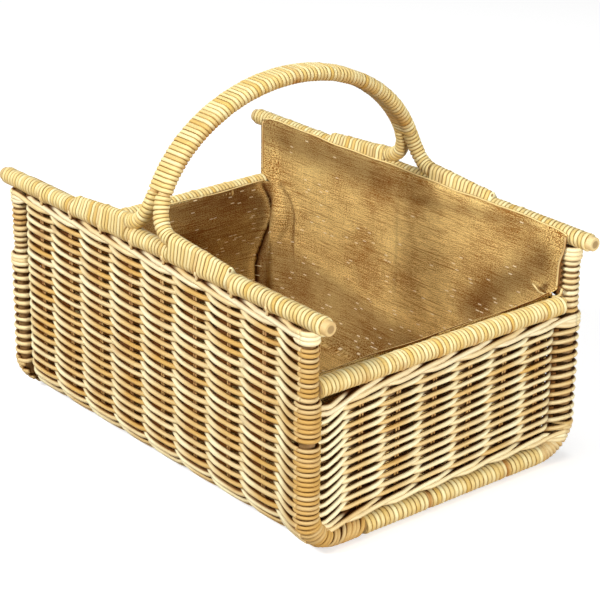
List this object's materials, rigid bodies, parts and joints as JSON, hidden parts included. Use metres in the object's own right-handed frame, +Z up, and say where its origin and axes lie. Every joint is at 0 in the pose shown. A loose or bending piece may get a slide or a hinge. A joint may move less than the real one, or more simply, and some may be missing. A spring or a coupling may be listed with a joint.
{
  "type": "rattan storage basket",
  "caption": "Open rectangular wicker basket with high long sides, low ends, cane-bound rails, an arched carrying handle and a brown hessian lining.",
  "frame": {"origin": "middle of the base, on the surface the basket stands on", "axes": "+X along the length, towards the right end; +Y across the width, towards the back long side; +Z up"},
  "size_m": [0.626, 0.432, 0.4574],
  "materials": {
    "rattan_pole": "bare peeled rattan, satin",
    "cane_binding": "glossy split cane, straw coloured",
    "weavers": "round buff weavers, satin",
    "stakes": "dark brown thin stakes, matt",
    "hessian": "coarse brown jute cloth, matt"
  },
  "bodies": {
    "root": {"front_rail_pole": "rattan_pole", "back_rail_pole": "rattan_pole", "front_rail_left_binding": "cane_binding", "front_rail_middle_binding": "cane_binding", "front_rail_right_binding": "cane_binding", "back_rail_left_binding": "cane_binding", "back_rail_middle_binding": "cane_binding", "back_rail_right_binding": "cane_binding", "right_end_rail_pole": "rattan_pole", "left_end_rail_pole": "rattan_pole", "right_end_rail_binding": "cane_binding", "left_end_rail_binding": "cane_binding", "right_end_frame_pole": "rattan_pole", "left_end_frame_pole": "rattan_pole", "right_base_binding": "cane_binding", "left_base_binding": "cane_binding", "front_right_post_wraps": "weavers", "back_right_post_wraps": "weavers", "front_left_post_wraps": "weavers", "back_left_post_wraps": "weavers", "handle_left_rod": "rattan_pole", "handle_right_rod": "rattan_pole", "handle_binding": "cane_binding", "front_left_leg_binding": "cane_binding", "front_right_leg_binding": "cane_binding", "back_left_leg_binding": "cane_binding", "back_right_leg_binding": "cane_binding", "front_wall_weave": "weavers", "back_wall_weave": "weavers", "front_bend_weave": "weavers", "back_bend_weave": "weavers", "base_weave": "weavers", "right_end_weave": "weavers", "left_end_weave": "weavers", "front_wale": "weavers", "back_wale": "weavers", "right_end_wale": "weavers", "left_end_wale": "weavers", "side_stake_1": "stakes", "side_stake_2": "stakes", "side_stake_3": "stakes", "side_stake_4": "stakes", "side_stake_5": "stakes", "side_stake_6": "stakes", "side_stake_7": "stakes", "side_stake_8": "stakes", "right_end_stake_1": "stakes", "right_end_stake_2": "stakes", "right_end_stake_3": "stakes", "right_end_stake_4": "stakes", "right_end_stake_5": "stakes", "right_end_stake_6": "stakes", "left_end_stake_1": "stakes", "left_end_stake_2": "stakes", "left_end_stake_3": "stakes", "left_end_stake_4": "stakes", "left_end_stake_5": "stakes", "left_end_stake_6": "stakes", "lining": "hessian"}
  },
  "joints": []
}
